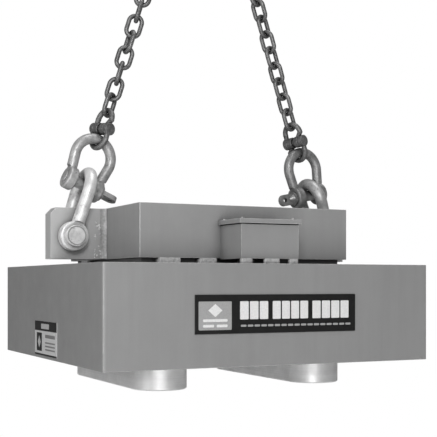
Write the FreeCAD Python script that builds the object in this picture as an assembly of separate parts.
"""Twin-pole lifting electromagnet hung on a two-leg chain sling.

The origin is the centre of the pole-face plane. +Z is up, +X is along the bail
from the left lug to the right lug, and -Y is the front, where the terminal box is.
"""
import FreeCAD, Part
import math
import os

V = FreeCAD.Vector
ORIGIN = V(0, 0, 0)
X_AXIS = V(1, 0, 0)
Y_AXIS = V(0, 1, 0)
Z_AXIS = V(0, 0, 1)
LEFT = -1
RIGHT = 1
SIDES = {"left": LEFT, "right": RIGHT}

# Case: four mitred walls around an inset yoke plate and bottom plate
case_width = 920.0
case_depth = 880.0
case_height = 254.0
wall_thickness = 25.0
case_corner_radius = 7.0
yoke_thickness = 50.0
bottom_thickness = 20.0
bottom_recess = 5.0

# Poles: round-ended steel cores that reach from the pole faces up to the yoke
pole_drop = 67.0
pole_offset = 230.0
pole_width = 144.0
pole_length = 587.0
pole_edge_chamfer = 3.0
core_bolt_spacing = 140.0
core_bolt_rows = 4
bolt_radius = 15.0
bolt_head_radius = 22.5
bolt_head_height = 30.0
bolt_socket_flats = 22.0
bolt_grip_in_core = 50.0
bolt_head_sink = 2.0
bolt_head_room = 2.0
bolt_hole_room = 1.0

# Coils: strap windings on insulating formers, with a lead from each
former_gap = 4.0
former_thickness = 6.0
coil_build = 94.0
coil_bottom_gap = 14.0
coil_top_gap = 3.0
lead_radius = 6.0
lead_x = 61.5
lead_y = -200.0
lead_height = 378.0
lead_bend = 28.0
lead_hole_radius = 7.0
lead_eye_half_width = 7.0
lead_eye_half_height = 1.5
lead_eye_back = 14.0
lead_eye_front = 8.0
cable_hole_radius = 14.0

# Bail: a spacer plate, a welded box and one lifting bar right through the box
spacer_width = 586.0
spacer_depth = 512.0
spacer_thickness = 16.0
bail_width = 614.0
bail_depth = 562.0
bail_height = 138.0
bail_wall = 16.0
bail_floor = 12.0
bail_corner_radius = 3.0
bar_thickness = 50.0
bar_corner_cut = 16.0
lug_pin_x = 403.0
lug_pin_height = 61.0
lug_weld = 14.0

# Welds, as spans along each edge: under the front of the bail, under its sides,
# and the tacks that hold the terminal box's front edge to the case
front_weld_spans = ((-255.0, -193.0), (-141.0, -90.0), (-20.0, 20.0))
side_weld_span = (120.0, 180.0)
box_tack_spans = ((-82.0, -50.0), (-16.0, 28.0), (56.0, 82.0))
box_tack_depth = 10.0

# Terminal box on the front of the bail, with a lift-off cover
box_width = 165.0
box_depth = 120.0
box_height = 86.0
box_lift = 13.0
box_wall = 5.0
box_boss = 8.5
gasket_thickness = 3.0
cover_thickness = 11.0
cover_overhang = 7.0
cover_back_gap = 0.5
cover_screw_radius = 2.5
cover_screw_length = 37.0
cover_screw_flats = 8.0
cover_screw_head = 4.0
cover_screw_room = 0.3
boss_hole_depth = 30.0
bed_half_length = 74.0
bed_half_width = 20.0
bed_thickness = 21.0
bed_web = 5.0
inner_stud_x = 24.0
stud_radius = 4.0
stud_y = -330.0
stud_above_lead = 16.0
stud_nut_flats = 13.0
stud_nut_height = 6.5

# Cable gland on the back of the bail
gland_height = 73.0
gland_bore = 10.0
gland_thread = 12.5
gland_flats = 36.0
gland_reach = 44.0
gland_inside = 6.0
gland_flange = 10.0
gland_nut = 14.0

# Plates on the case
nameplate_width = 456.0
nameplate_height = 95.0
nameplate_lift = 82.0
nameplate_thickness = 2.0
rivet_radius = 3.0
rivet_height = 1.5
rivet_inset = 8.0
label_front = -83.0
label_back = 123.0
label_height = 93.0
label_lift = 8.0
label_thickness = 1.0

# Lug shackles: large bow shackles on the lugs, with round pins and split cotters
lug_shackle = dict(bar=34.0, bow=80.0, crown=165.0, jaw=57.0, eye=79.0, thick=30.0, pin=38.0)
lug_hole_radius = 20.0
lug_head_radius = 28.0
lug_head_height = 15.0
lug_head_edge = 1.5
lug_groove_outer = 26.0
lug_groove_inner = 22.5
lug_groove_depth = 2.5
lug_pin_tail = 20.0
cotter_inset = 12.0
cotter_radius = 2.5
cotter_eye_radius = 5.0
cotter_reach = 8.0

# Chain shackles: bow shackles with screw pins, between lug shackle and coupling
chain_shackle = dict(bar=29.0, bow=78.0, crown=118.0, jaw=54.0, eye=64.0, thick=27.0, pin=32.0)
screw_collar_radius = 21.0
screw_collar_height = 6.0
screw_head_length = 48.0
screw_head_width = 34.0
screw_head_thickness = 13.0
screw_head_hole = 6.5
screw_neck = 14.0
screw_tip = 4.0
pin_end_chamfer = 2.0

# Coupling links: two forged halves on a load pin with a centre sleeve
coupling_length = 125.0
coupling_bar = 15.0
coupling_opening = 40.0
coupling_elbow = 8.0
knuckle_radius = 17.0
knuckle_width = 15.5
knuckle_pitch = 16.0
knuckle_edge = 2.0
load_pin_radius = 7.0
sleeve_radius = 11.0
sleeve_length = 8.0

# Chain: round steel links, hanging in two rigid lengths that hinge on each other
link_bar = 12.5
link_pitch = 48.0
link_width = 49.0
links_in_lower = 8
links_in_upper = 9

# Master link
ring_bar = 28.0
ring_width = 110.0
ring_length = 200.0

# Clearances: running fit of pins, and slack between parts that hang on each other
pin_fit = 0.05
seat_gap = 0.5
pin_seat_gap = 0.8
link_gap = 0.6

# How each hanging part is turned, in degrees. "links" holds the lowest links of a leg, bottom
# up. All but roll and pin_turn are twists about the leg, from the plane of the two legs. A
# chain shackle rolls clockwise in its own plane, seen from the front, about its bow's centre.
twists = {
    "left": dict(
        shackle=6.0,
        roll=5.0,
        pin_turn=80.0,
        coupling=-68.0,
        links=(38.0, -32.0, 70.0, -14.0, 94.0, -13.0),
        top=98.0,
    ),
    "right": dict(
        shackle=8.0,
        roll=6.0,
        pin_turn=0.0,
        coupling=-68.0,
        links=(20.0, -66.0, 18.0, -66.0, 20.0, -64.0),
        top=98.0,
    ),
}

# Heights worked out from the sizes above
case_bottom = pole_drop
case_top = case_bottom + case_height
yoke_bottom = case_top - yoke_thickness
bottom_top = case_bottom + bottom_recess + bottom_thickness
bail_bottom = case_top + spacer_thickness
bail_top = bail_bottom + bail_height
lug_pin_z = bail_bottom + lug_pin_height
inner_half_width = case_width / 2 - wall_thickness
inner_half_depth = case_depth / 2 - wall_thickness
bolt_head_bottom = case_top - bolt_head_height - bolt_head_sink
bail_front = -bail_depth / 2
bail_side = bail_width / 2
coil_bottom = bottom_top + coil_bottom_gap
coil_top = yoke_bottom - former_thickness - coil_top_gap
box_bottom = case_top + box_lift
box_top = box_bottom + box_height
box_front = bail_front - box_depth

# Stations along a leg, measured from the lug pin
shackle_station = lug_shackle["crown"] - pin_seat_gap - chain_shackle["pin"] / 2
coupling_station = (
    shackle_station + chain_shackle["crown"] - seat_gap - coupling_bar + coupling_length / 2
)
coupling_seat = coupling_length / 2 - coupling_bar
inner_knuckle = sleeve_length / 2 + seat_gap + knuckle_width / 2
outer_knuckle = inner_knuckle + knuckle_pitch
bow_centre = V(0, 0, chain_shackle["crown"] - chain_shackle["bow"] / 2)
link_seat = link_pitch / 2
first_link_station = coupling_station + coupling_seat + link_seat - link_gap
link_step = link_pitch - link_gap
link_count = links_in_lower + links_in_upper
last_link_station = first_link_station + (link_count - 1) * link_step
top_coupling_station = last_link_station + link_seat + coupling_seat - link_gap
leg_length = top_coupling_station + coupling_seat - pin_seat_gap + ring_width / 2
leg_lean = math.degrees(math.asin(lug_pin_x / leg_length))
ring_centre_z = lug_pin_z + leg_length * math.cos(math.radians(leg_lean))


def block(x0, x1, y0, y1, z0, z1):
    """Box between two corners."""
    return Part.makeBox(x1 - x0, y1 - y0, z1 - z0, V(x0, y0, z0))


def rod(radius, length, start, direction=Z_AXIS):
    """Round bar from a start point."""
    return Part.makeCylinder(radius, length, start, direction)


def joined(shapes):
    """One solid from shapes that overlap or touch."""
    return shapes[0].multiFuse(shapes[1:]).removeSplitter()


def without(shape, tools):
    """Shape with each tool cut out of it."""
    return shape.cut(Part.makeCompound(tools))


def group(solids):
    """Separate solids kept together in one node."""
    return Part.makeCompound(solids)


def prism(points, direction):
    """Flat outline pushed along a direction."""
    return Part.Face(Part.makePolygon(points + points[:1])).extrude(direction)


def hexagon(flats, height, base, direction):
    """Hexagonal prism, standing on its base point along a direction."""
    corner = flats / math.sqrt(3)
    turn = FreeCAD.Rotation(Z_AXIS, direction)
    points = []
    for i in range(6):
        angle = math.radians(60 * i)
        spoke = V(corner * math.cos(angle), corner * math.sin(angle), 0)
        points.append(base + turn.multVec(spoke))
    return prism(points, direction * height)


def round_bar(edges, radius):
    """Round bar bent along smoothly joined edges."""
    start = edges[0].firstVertex().Point
    along = edges[0].tangentAt(edges[0].FirstParameter)
    section = Part.Wire(Part.makeCircle(radius, start, along))
    return Part.Wire(edges).makePipeShell([section], True, False)


def line(start, end):
    return Part.makeLine(start, end)


def arc(start, middle, end):
    return Part.Arc(start, middle, end).toShape()


def stadium(centre_x, width, length, z0, z1):
    """Round-ended prism, long in Y."""
    radius = width / 2
    reach = length / 2 - radius
    right_low = V(centre_x + radius, -reach, z0)
    right_high = V(centre_x + radius, reach, z0)
    left_high = V(centre_x - radius, reach, z0)
    left_low = V(centre_x - radius, -reach, z0)
    outline = Part.Wire(
        [
            line(right_low, right_high),
            arc(right_high, V(centre_x, length / 2, z0), left_high),
            line(left_high, left_low),
            arc(left_low, V(centre_x, -length / 2, z0), right_low),
        ]
    )
    return Part.Face(outline).extrude(Z_AXIS * (z1 - z0))


def stadium_ring(centre_x, inner_offset, outer_offset, z0, z1):
    """Round-ended tube around a pole, between two offsets from the pole's side."""
    shapes = []
    for offset in (outer_offset, inner_offset):
        shapes.append(
            stadium(centre_x, pole_width + 2 * offset, pole_length + 2 * offset, z0, z1)
        )
    return shapes[0].cut(shapes[1])


def upright_edges(shape, radius_from_axis):
    """Vertical edges at least the given distance from the Z axis."""
    found = []
    for edge in shape.Edges:
        middle = edge.CenterOfMass
        length = edge.BoundBox.ZLength
        if length > 1 and math.hypot(middle.x, middle.y) > radius_from_axis:
            found.append(edge)
    return found


def mitred_walls(width, depth, thickness, corner, z0, z1):
    """Front, back, left and right walls of a box frame, mitred at the corners."""
    half_x = width / 2
    half_y = depth / 2
    outer = block(-half_x, half_x, -half_y, half_y, z0, z1)
    outer = outer.makeFillet(corner, upright_edges(outer, 0))
    inner = block(thickness - half_x, half_x - thickness, thickness - half_y, half_y - thickness, z0, z1)
    frame = outer.cut(inner)
    height = Z_AXIS * (z1 - z0)
    reach = min(half_x, half_y) / 2
    walls = {}
    places = (("front", True, -1), ("back", True, 1), ("left", False, -1), ("right", False, 1))
    for name, along_x, sign in places:
        if along_x:
            points = [
                V(-half_x, sign * half_y, z0),
                V(half_x, sign * half_y, z0),
                V(half_x - reach, sign * (half_y - reach), z0),
                V(reach - half_x, sign * (half_y - reach), z0),
            ]
        else:
            points = [
                V(sign * half_x, -half_y, z0),
                V(sign * half_x, half_y, z0),
                V(sign * (half_x - reach), half_y - reach, z0),
                V(sign * (half_x - reach), reach - half_y, z0),
            ]
        walls[name] = frame.common(prism(points, height))
    return walls


def lead_path(side):
    """Lead from the top of a coil up into the bail and forward to the terminals."""
    x = side * lead_x
    turn_z = lead_height - lead_bend
    corner_y = lead_y - lead_bend
    low = lead_bend * (1 - math.sqrt(0.5))
    return [
        line(V(x, lead_y, coil_top), V(x, lead_y, turn_z)),
        arc(V(x, lead_y, turn_z), V(x, lead_y - low, lead_height - low), V(x, corner_y, lead_height)),
        line(V(x, corner_y, lead_height), V(x, stud_y + lead_eye_back, lead_height)),
    ]


def lead_holes():
    """Clearance along each lead, to cut from the plates that it passes."""
    radius = lead_hole_radius
    holes = []
    for side in SIDES.values():
        x = side * lead_x
        holes.append(rod(radius, lead_height - yoke_bottom, V(x, lead_y, yoke_bottom)))
        holes.append(rod(radius, lead_y - stud_y, V(x, stud_y, lead_height), Y_AXIS))
    return holes


def bolt_places():
    """Centres of the core bolts in plan."""
    places = []
    for side in SIDES.values():
        for row in range(core_bolt_rows):
            y = (row - (core_bolt_rows - 1) / 2) * core_bolt_spacing
            places.append((side * pole_offset, y))
    return places


def core_bolts():
    """Socket-head bolts, sunk in the yoke, that hold the cores up."""
    shank = bolt_head_bottom - yoke_bottom + bolt_grip_in_core
    bolts = []
    for x, y in bolt_places():
        bolt = rod(bolt_head_radius, bolt_head_height, V(x, y, bolt_head_bottom))
        bolt = bolt.fuse(rod(bolt_radius, shank, V(x, y, bolt_head_bottom - shank)))
        socket_depth = bolt_head_height / 2
        socket_base = V(x, y, bolt_head_bottom + bolt_head_height - socket_depth)
        bolts.append(bolt.cut(hexagon(bolt_socket_flats, socket_depth, socket_base, Z_AXIS)))
    return bolts


def case_nodes():
    """Case, poles, coils and what fills the case."""
    nodes = {}
    walls = mitred_walls(
        case_width, case_depth, wall_thickness, case_corner_radius, case_bottom, case_top
    )
    for name, wall in walls.items():
        nodes[name + "_wall"] = wall

    yoke = block(
        -inner_half_width, inner_half_width, -inner_half_depth, inner_half_depth, yoke_bottom, case_top
    )
    yoke_cuts = lead_holes()
    for x, y in bolt_places():
        yoke_cuts.append(rod(bolt_radius + bolt_hole_room, yoke_thickness, V(x, y, yoke_bottom)))
        counterbore = bolt_head_radius + bolt_head_room
        yoke_cuts.append(rod(counterbore, case_top - bolt_head_bottom, V(x, y, bolt_head_bottom)))
    nodes["yoke_plate"] = without(yoke, yoke_cuts)
    nodes["core_bolts"] = group(core_bolts())

    bottom = block(
        -inner_half_width,
        inner_half_width,
        -inner_half_depth,
        inner_half_depth,
        case_bottom + bottom_recess,
        bottom_top,
    )
    filling = block(
        -inner_half_width, inner_half_width, -inner_half_depth, inner_half_depth, bottom_top, yoke_bottom
    )
    formers = []
    leads = []
    for name, side in SIDES.items():
        centre = side * pole_offset
        core = stadium(centre, pole_width, pole_length, 0, yoke_bottom)
        bottom = bottom.cut(core)
        face_edges = []
        for edge in core.Edges:
            if edge.BoundBox.ZMax < 1:
                face_edges.append(edge)
        core = core.makeChamfer(pole_edge_chamfer, face_edges)
        bolt_holes = []
        for x, y in bolt_places():
            if x * side > 0:
                start = V(x, y, yoke_bottom - bolt_grip_in_core)
                bolt_holes.append(rod(bolt_radius, bolt_grip_in_core, start))
        nodes[name + "_pole_core"] = without(core, bolt_holes)

        coil_inner = former_gap + former_thickness
        coil_outer = coil_inner + coil_build
        nodes[name + "_coil"] = stadium_ring(centre, coil_inner, coil_outer, coil_bottom, coil_top)
        former_bottom = coil_bottom - former_thickness
        former_top = coil_top + former_thickness
        sleeve = stadium_ring(centre, former_gap, coil_inner, former_bottom, former_top)
        bottom_flange = stadium_ring(centre, coil_inner, coil_outer, former_bottom, coil_bottom)
        top_flange = stadium_ring(centre, coil_inner, coil_outer, coil_top, former_top)
        lead_start = V(side * lead_x, lead_y, coil_top)
        top_flange = top_flange.cut(rod(lead_radius, former_thickness, lead_start))
        former = joined([sleeve, bottom_flange, top_flange])

        lead = round_bar(lead_path(side), lead_radius)
        eye = block(
            -lead_eye_half_width,
            lead_eye_half_width,
            -lead_eye_front,
            lead_eye_back,
            -lead_eye_half_height,
            lead_eye_half_height,
        )
        eye.translate(V(side * lead_x, stud_y, lead_height))
        stud_room = rod(stud_radius + 2 * pin_fit, box_height, V(side * lead_x, stud_y, box_bottom))
        leads.append(lead.fuse(eye).cut(stud_room))

        formers.append(former)
        filling = filling.cut(stadium(centre, pole_width, pole_length, bottom_top, yoke_bottom))
        filling = without(filling, [former, nodes[name + "_coil"], lead])
    nodes["bottom_plate"] = bottom
    nodes["coil_formers"] = group(formers)
    nodes["coil_leads"] = group(leads)
    nodes["potting_compound"] = filling
    return nodes


def lifting_bar():
    """One steel bar through the bail box, whose ends are the two lugs."""
    inside = bail_side - bail_wall
    end = case_width / 2
    half = [
        (inside, bail_bottom + bail_floor),
        (inside, bail_bottom),
        (end, bail_bottom),
        (end, bail_top - bar_corner_cut),
        (end - bar_corner_cut, bail_top),
        (inside, bail_top),
        (inside, bail_top - bail_wall),
    ]
    points = [V(x, -bar_thickness / 2, z) for x, z in half]
    points += [V(-x, -bar_thickness / 2, z) for x, z in reversed(half)]
    bar = prism(points, Y_AXIS * bar_thickness)
    holes = []
    for side in SIDES.values():
        start = V(side * lug_pin_x, -bar_thickness / 2, lug_pin_z)
        holes.append(rod(lug_hole_radius, bar_thickness, start, Y_AXIS))
    return without(bar, holes)


def bail_nodes():
    """Spacer plate, bail box, lifting bar and the welds that hold them."""
    nodes = {}
    cable_hole = rod(cable_hole_radius, bail_wall, V(0, bail_front, lead_height), Y_AXIS)
    holes = lead_holes() + [cable_hole]

    spacer = block(
        -spacer_width / 2, spacer_width / 2, -spacer_depth / 2, spacer_depth / 2, case_top, bail_bottom
    )
    nodes["spacer_plate"] = without(spacer, lead_holes())

    walls = mitred_walls(bail_width, bail_depth, bail_wall, bail_corner_radius, bail_bottom, bail_top)
    gland_start = V(0, bail_depth / 2 - bail_wall, bail_bottom + gland_height)
    gland_hole = rod(gland_thread, bail_wall, gland_start, Y_AXIS)
    nodes["bail_front"] = without(walls["front"], holes)
    nodes["bail_back"] = walls["back"].cut(gland_hole)
    bar_slot = block(
        -bail_side, bail_side, -bar_thickness / 2, bar_thickness / 2, bail_bottom, bail_top
    )
    side_walls = []
    for name in SIDES:
        side_walls += walls[name].cut(bar_slot).Solids
    nodes["bail_sides"] = group(side_walls)

    inside_x = bail_side - bail_wall
    inside_y = bail_depth / 2 - bail_wall
    floor = block(-inside_x, inside_x, -inside_y, inside_y, bail_bottom, bail_bottom + bail_floor)
    nodes["bail_floor"] = without(floor, lead_holes())
    nodes["bail_top"] = block(-inside_x, inside_x, -inside_y, inside_y, bail_top - bail_wall, bail_top)
    nodes["lifting_bar"] = lifting_bar()

    welds = []
    pad_back = -spacer_depth / 2
    for x0, x1 in front_weld_spans:
        welds.append(block(x0, x1, bail_front, pad_back, case_top, bail_bottom))
        welds.append(block(-x1, -x0, -pad_back, -bail_front, case_top, bail_bottom))
    for x0, x1 in box_tack_spans:
        welds.append(block(x0, x1, box_front, box_front + box_tack_depth, case_top, box_bottom))
    for side in SIDES.values():
        inner = side * spacer_width / 2
        outer = side * bail_side
        y0, y1 = side_weld_span
        welds.append(block(min(inner, outer), max(inner, outer), y0, y1, case_top, bail_bottom))
        for edge in (-1, 1):
            corner = V(side * bail_side, edge * bar_thickness / 2, bail_bottom)
            fillet = [corner, corner + V(side * lug_weld, 0, 0), corner + V(0, edge * lug_weld, 0)]
            welds.append(prism(fillet, Z_AXIS * bail_height))
    nodes["weld_beads"] = group(welds)

    gland_z = bail_bottom + gland_height
    inner_y = bail_depth / 2 - bail_wall - gland_inside
    flange_y = bail_depth / 2
    nut_y = flange_y + gland_flange + seat_gap
    dome_y = nut_y + gland_nut
    dome_end = flange_y + gland_reach
    body = joined(
        [
            rod(gland_thread, bail_wall + gland_inside, V(0, inner_y, gland_z), Y_AXIS),
            hexagon(gland_flats, gland_flange, V(0, flange_y, gland_z), Y_AXIS),
            rod(gland_thread, gland_nut, V(0, flange_y + gland_flange, gland_z), Y_AXIS),
        ]
    )
    nut = hexagon(gland_flats - 2, gland_nut, V(0, nut_y, gland_z), Y_AXIS)
    dome = Part.makeCone(
        gland_flats / 2 - 1, gland_bore + 3, dome_end - dome_y, V(0, dome_y, gland_z), Y_AXIS
    )
    nut = nut.fuse(dome).cut(rod(gland_thread, gland_nut - seat_gap, V(0, nut_y, gland_z), Y_AXIS))
    bore = rod(gland_bore, dome_end - inner_y, V(0, inner_y, gland_z), Y_AXIS)
    nodes["cable_gland"] = group([body.cut(bore), nut.cut(bore)])
    return nodes


def terminal_nodes():
    """Terminal box with its terminals, and the cover with gasket and screws."""
    nodes = {}
    half = box_width / 2
    floor = box_bottom + box_wall
    shell = block(-half, half, box_front, bail_front, box_bottom, box_top)
    room = block(
        box_wall - half, half - box_wall, box_front + box_wall, bail_front - box_wall, floor, box_top
    )
    shell = shell.cut(room)
    boss_x = half - box_wall - box_boss / 2
    boss_ys = (box_front + box_wall + box_boss / 2, bail_front - box_wall - box_boss / 2)
    screw_places = []
    for x in (-boss_x, boss_x):
        for y in boss_ys:
            screw_places.append((x, y))
    bosses = []
    for x, y in screw_places:
        reach = box_boss / 2
        boss = block(x - reach, x + reach, y - reach, y + reach, floor, box_top)
        hole_start = V(x, y, box_top - boss_hole_depth)
        bosses.append(boss.cut(rod(cover_screw_radius + pin_fit, boss_hole_depth, hole_start)))
    cable_hole = rod(cable_hole_radius, box_wall, V(0, bail_front - box_wall, lead_height), Y_AXIS)
    shell = joined([shell] + bosses)
    nodes["terminal_box"] = without(shell, lead_holes() + [cable_hole])

    bed_top = floor + bed_thickness
    bed = block(
        -bed_half_length, bed_half_length, stud_y - bed_half_width, stud_y + bed_half_width, floor, bed_top
    )
    studs = []
    bed_holes = []
    for x in (-lead_x, -inner_stud_x, inner_stud_x, lead_x):
        base = V(x, stud_y, floor + bed_web)
        studs.append(rod(stud_radius, lead_height + stud_above_lead - base.z, base))
        bed_holes.append(rod(stud_radius, bed_top - base.z, base))
        lower_nut = lead_height - lead_eye_half_height - stud_nut_height
        upper_nut = lead_height + lead_eye_half_height
        for z in (lower_nut, upper_nut):
            nut = hexagon(stud_nut_flats, stud_nut_height, V(x, stud_y, z), Z_AXIS)
            studs.append(nut.cut(rod(stud_radius, stud_nut_height, V(x, stud_y, z))))
    nodes["terminal_bed"] = without(bed, bed_holes)
    nodes["terminal_studs"] = group(studs)

    cover_back = bail_front - cover_back_gap
    gasket = block(-half, half, box_front, cover_back, box_top, box_top + gasket_thickness)
    reach = half + cover_overhang
    cover_bottom = box_top + gasket_thickness
    cover_top = cover_bottom + cover_thickness
    cover = block(-reach, reach, box_front - cover_overhang, cover_back, cover_bottom, cover_top)
    cover = cover.makeFillet(2, upright_edges(cover, 0))
    screws = []
    holes = []
    for x, y in screw_places:
        head = hexagon(cover_screw_flats, cover_screw_head, V(x, y, cover_top), Z_AXIS)
        start = V(x, y, cover_top - cover_screw_length)
        screws.append(head.fuse(rod(cover_screw_radius, cover_screw_length, start)))
        holes.append(rod(cover_screw_radius + cover_screw_room, cover_screw_length, start))
    nodes["terminal_gasket"] = without(gasket, holes)
    nodes["terminal_cover"] = without(cover, holes)
    nodes["cover_screws"] = group(screws)
    return nodes


def plate_nodes():
    """Nameplate with rivets on the front wall, and a label on the left wall."""
    face = -case_depth / 2
    half = nameplate_width / 2
    z0 = case_bottom + nameplate_lift
    z1 = z0 + nameplate_height
    plate = block(-half, half, face - nameplate_thickness, face, z0, z1)
    rivets = []
    for x in (rivet_inset - half, half - rivet_inset):
        for z in (z0 + rivet_inset, z1 - rivet_inset):
            start = V(x, face - nameplate_thickness, z)
            rivets.append(rod(rivet_radius, rivet_height, start, -Y_AXIS))
    label_z = case_bottom + label_lift
    label = block(
        -case_width / 2 - label_thickness,
        -case_width / 2,
        label_front,
        label_back,
        label_z,
        label_z + label_height,
    )
    return {"nameplate": plate, "nameplate_rivets": group(rivets), "side_label": label}


def oblong_ring(inner_width, inner_length, bar):
    """Round-bar ring in the local XZ plane, long in Z and centred on the origin."""
    bend = inner_width / 2 + bar / 2
    reach = inner_length / 2 - inner_width / 2
    top = reach + bend
    half = []
    for sign in (-1, 1):
        edges = [
            line(V(-sign * bend, 0, 0), V(-sign * bend, 0, sign * reach)),
            arc(V(-sign * bend, 0, sign * reach), V(0, 0, sign * top), V(sign * bend, 0, sign * reach)),
            line(V(sign * bend, 0, sign * reach), V(sign * bend, 0, 0)),
        ]
        half.append(round_bar(edges, bar / 2))
    return joined(half)


def rounded_disc(radius, thickness, corner, start):
    """Disc along X with rounded rims."""
    disc = rod(radius, thickness, start, X_AXIS)
    rims = [edge for edge in disc.Edges if edge.BoundBox.XLength < 1]
    return disc.makeFillet(corner, rims)


def shackle_bow(bar, bow, crown, jaw, eye, thick, pin):
    """Bow shackle in the local XZ plane: pin along X at the origin, crown up."""
    radius = bar / 2
    bend = bow / 2 + radius
    bend_z = crown + radius - bend
    foot = jaw / 2 + radius
    angle = math.acos(bend / math.hypot(foot, bend_z)) - math.atan2(bend_z, foot)
    side = V(bend * math.cos(angle), 0, bend_z + bend * math.sin(angle))
    mirror = V(-side.x, 0, side.z)
    edges = [
        line(V(foot, 0, 0), side),
        arc(side, V(0, 0, bend_z + bend), mirror),
        line(mirror, V(-foot, 0, 0)),
    ]
    rim = thick / 5
    shape = joined(
        [
            round_bar(edges, radius),
            rounded_disc(eye / 2, thick, rim, V(jaw / 2, 0, 0)),
            rounded_disc(eye / 2, thick, rim, V(-jaw / 2 - thick, 0, 0)),
        ]
    )
    outside = jaw / 2 + thick
    reach = outside + bar
    cuts = [rod(pin / 2 + pin_fit, 2 * reach, V(-reach, 0, 0), X_AXIS)]
    for face_x in (outside, -reach):
        cuts.append(rod(eye / 2 + seat_gap, bar, V(face_x, 0, 0), X_AXIS))
    return without(shape, cuts)


def lug_pin():
    """Round pin along X with a grooved head at the -X end and a cotter hole at the other."""
    outside = lug_shackle["jaw"] / 2 + lug_shackle["thick"]
    radius = lug_shackle["pin"] / 2
    tail = outside + lug_pin_tail
    seat_x = -outside - seat_gap
    face_x = seat_x - lug_head_height
    head = rod(lug_head_radius, lug_head_height, V(seat_x, 0, 0), -X_AXIS)
    rim = [edge for edge in head.Edges if edge.BoundBox.XMax < face_x + 1]
    head = head.makeFillet(lug_head_edge, rim)
    groove = rod(lug_groove_outer, lug_groove_depth, V(face_x, 0, 0), X_AXIS)
    groove = groove.cut(rod(lug_groove_inner, lug_groove_depth, V(face_x, 0, 0), X_AXIS))
    shank = rod(radius, tail - seat_x, V(seat_x, 0, 0), X_AXIS)
    tip = [edge for edge in shank.Edges if edge.BoundBox.XMin > tail - 1]
    shank = shank.makeChamfer(pin_end_chamfer, tip)
    hole = rod(cotter_radius + 2 * pin_fit, 2 * radius, V(outside + cotter_inset, 0, -radius))
    return head.cut(groove).fuse(shank).cut(hole)


def cotter():
    """Split cotter through the tail of the lug pin, with its eye on top."""
    x = lug_shackle["jaw"] / 2 + lug_shackle["thick"] + cotter_inset
    radius = lug_shackle["pin"] / 2
    eye_z = radius + cotter_reach
    stem_top = eye_z - cotter_eye_radius + cotter_radius / 2
    stem = rod(cotter_radius, stem_top + eye_z, V(x, 0, -eye_z))
    eye = Part.makeTorus(cotter_eye_radius, cotter_radius, V(x, 0, eye_z), X_AXIS)
    return joined([stem, eye])


def screw_pin():
    """Screw pin along X, with a collar and a flattened, drilled head at the +X end."""
    outside = chain_shackle["jaw"] / 2 + chain_shackle["thick"]
    radius = chain_shackle["pin"] / 2
    collar_x = outside + seat_gap
    head_x = collar_x + screw_collar_height
    tip_x = -outside - screw_tip
    shank = rod(radius, head_x - tip_x, V(tip_x, 0, 0), X_AXIS)
    tip = [edge for edge in shank.Edges if edge.BoundBox.XMax < tip_x + 1]
    shank = shank.makeChamfer(pin_end_chamfer, tip)
    collar = rod(screw_collar_radius, screw_collar_height, V(collar_x, 0, 0), X_AXIS)
    half = screw_head_thickness / 2
    end_x = head_x + screw_head_length - screw_head_width / 2
    tab = block(head_x, end_x, -half, half, -screw_head_width / 2, screw_head_width / 2)
    tab_end = rod(screw_head_width / 2, screw_head_thickness, V(end_x, -half, 0), Y_AXIS)
    neck = Part.makeCone(radius, half, screw_neck, V(head_x, 0, 0), X_AXIS)
    pin = joined([shank, collar, tab, tab_end, neck])
    return pin.cut(rod(screw_head_hole, screw_head_thickness, V(end_x, -half, 0), Y_AXIS))


def coupling_half():
    """Forged half in the local XZ plane: load pin along X at the origin, loop up.

    One knuckle is outside and the other inside, so that two halves interlock.
    """
    bar = coupling_bar / 2
    bend = coupling_opening / 2 + bar
    bend_z = coupling_length / 2 - bar - bend
    half_width = knuckle_width / 2
    loop = arc(V(-bend, 0, bend_z), V(0, 0, bend_z + bend), V(bend, 0, bend_z))
    pieces = [round_bar([loop], bar)]
    for side, knuckle_x in ((-1, -outer_knuckle), (1, inner_knuckle)):
        knuckle = rod(knuckle_radius, knuckle_width, V(knuckle_x - half_width, 0, 0), X_AXIS)
        rims = [edge for edge in knuckle.Edges if edge.BoundBox.XLength < 1]
        pieces.append(knuckle.makeFillet(knuckle_edge, rims))
        elbow = V(side * bend, 0, bend_z)
        arm = V(knuckle_x, 0, knuckle_radius / 2) - elbow
        pieces.append(Part.makeCone(bar, half_width - seat_gap, arm.Length, elbow, arm))
        pieces.append(Part.makeSphere(coupling_elbow, elbow))
    cuts = []
    room = half_width + seat_gap
    for other_x in (outer_knuckle, -inner_knuckle):
        cuts.append(rod(knuckle_radius + seat_gap, 2 * room, V(other_x - room, 0, 0), X_AXIS))
    reach = outer_knuckle + knuckle_width
    cuts.append(rod(load_pin_radius + pin_fit, 2 * reach, V(-reach, 0, 0), X_AXIS))
    return without(joined(pieces), cuts)


def coupling_pin():
    """Load pin with the sleeve that holds it, between the inner knuckles."""
    reach = outer_knuckle + knuckle_width / 2
    pin = rod(load_pin_radius, 2 * reach, V(-reach, 0, 0), X_AXIS)
    sleeve = rod(sleeve_radius, sleeve_length, V(-sleeve_length / 2, 0, 0), X_AXIS)
    return group([pin, sleeve.cut(pin)])


def on_leg(shape, side, station, twist):
    """Shape set on a leg: turned about the leg, moved up it and leant with it."""
    placed = shape.copy()
    placed.rotate(ORIGIN, Z_AXIS, twist)
    placed.translate(V(0, 0, station))
    placed.rotate(ORIGIN, Y_AXIS, -side * leg_lean)
    placed.translate(V(side * lug_pin_x, 0, lug_pin_z))
    return placed


def link_twist(turn, index):
    """Twist of a chain link.

    The lowest links have twists of their own. Each of the rest lies across the one
    below, and they turn evenly until the last lies across the top coupling.
    """
    lowest = turn["links"]
    if index < len(lowest):
        return lowest[index]
    rest = link_count - len(lowest)
    step = (turn["top"] - 90 - lowest[-1] - 90 * (rest % 2)) / rest
    count = index + 1 - len(lowest)
    return lowest[-1] + 90 * (count % 2) + step * count


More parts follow.
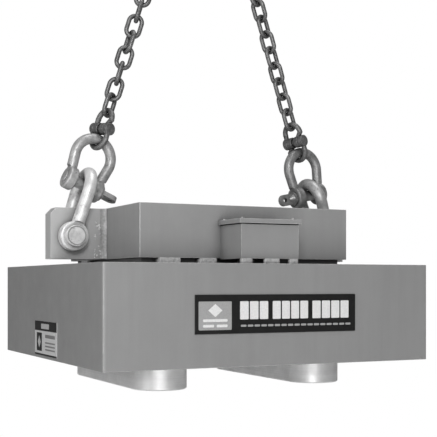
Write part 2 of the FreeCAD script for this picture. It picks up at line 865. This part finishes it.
def chain_shackle_place(shape, name, side):
    """Chain shackle, or its pin, rolled in the shackle's plane and set on the leg."""
    turn = twists[name]
    placed = shape.copy()
    placed.rotate(bow_centre, Y_AXIS, -side * turn["roll"])
    facing = turn["shackle"] + (0 if side == LEFT else 180)
    return on_leg(placed, side, shackle_station, facing)


def sling_nodes():
    """Master link and the two legs."""
    ring = oblong_ring(ring_width, ring_length, ring_bar)
    ring.translate(V(0, 0, ring_centre_z + (ring_length - ring_width) / 2))
    nodes = {"master_link": ring}

    lug_bow = shackle_bow(**lug_shackle)
    chain_bow = shackle_bow(**chain_shackle)
    upper_half = coupling_half()
    lower_half = coupling_half()
    lower_half.rotate(ORIGIN, Y_AXIS, 180)
    link_inner = link_width - 2 * link_bar
    link = oblong_ring(link_inner, link_pitch, link_bar)

    for name, side in SIDES.items():
        turn = twists[name]
        nodes[name + "_lug_shackle"] = on_leg(lug_bow, side, 0, 90)
        nodes[name + "_lug_pin"] = on_leg(lug_pin(), side, 0, 90)
        nodes[name + "_lug_cotter"] = on_leg(cotter(), side, 0, 90)

        pin = screw_pin()
        pin.rotate(ORIGIN, X_AXIS, turn["pin_turn"])
        nodes[name + "_chain_shackle"] = chain_shackle_place(chain_bow, name, side)
        nodes[name + "_screw_pin"] = chain_shackle_place(pin, name, side)

        for prefix, station, twist in (
            ("_coupling_", coupling_station, turn["coupling"]),
            ("_top_coupling_", top_coupling_station, turn["top"]),
        ):
            nodes[name + prefix + "lower_half"] = on_leg(lower_half, side, station, twist)
            nodes[name + prefix + "upper_half"] = on_leg(upper_half, side, station, twist)
            nodes[name + prefix + "pin"] = on_leg(coupling_pin(), side, station, twist)

        links = []
        for index in range(link_count):
            station = first_link_station + index * link_step
            links.append(on_leg(link, side, station, link_twist(turn, index)))
        nodes[name + "_chain_lower"] = group(links[:links_in_lower])
        nodes[name + "_chain_upper"] = group(links[links_in_lower:])
    return nodes


def main():
    os.makedirs("parts", exist_ok=True)
    nodes = {}
    nodes.update(case_nodes())
    nodes.update(bail_nodes())
    nodes.update(terminal_nodes())
    nodes.update(plate_nodes())
    nodes.update(sling_nodes())
    for name, shape in nodes.items():
        shape.exportStep("parts/" + name + ".step")
        state = "valid" if shape.isValid() else "NOT VALID"
        print(name, len(shape.Solids), "solids", round(shape.Volume / 1000), "cm3", state)
    print(len(nodes), "nodes, lean", round(leg_lean, 3), "ring centre", round(ring_centre_z, 2))


main()
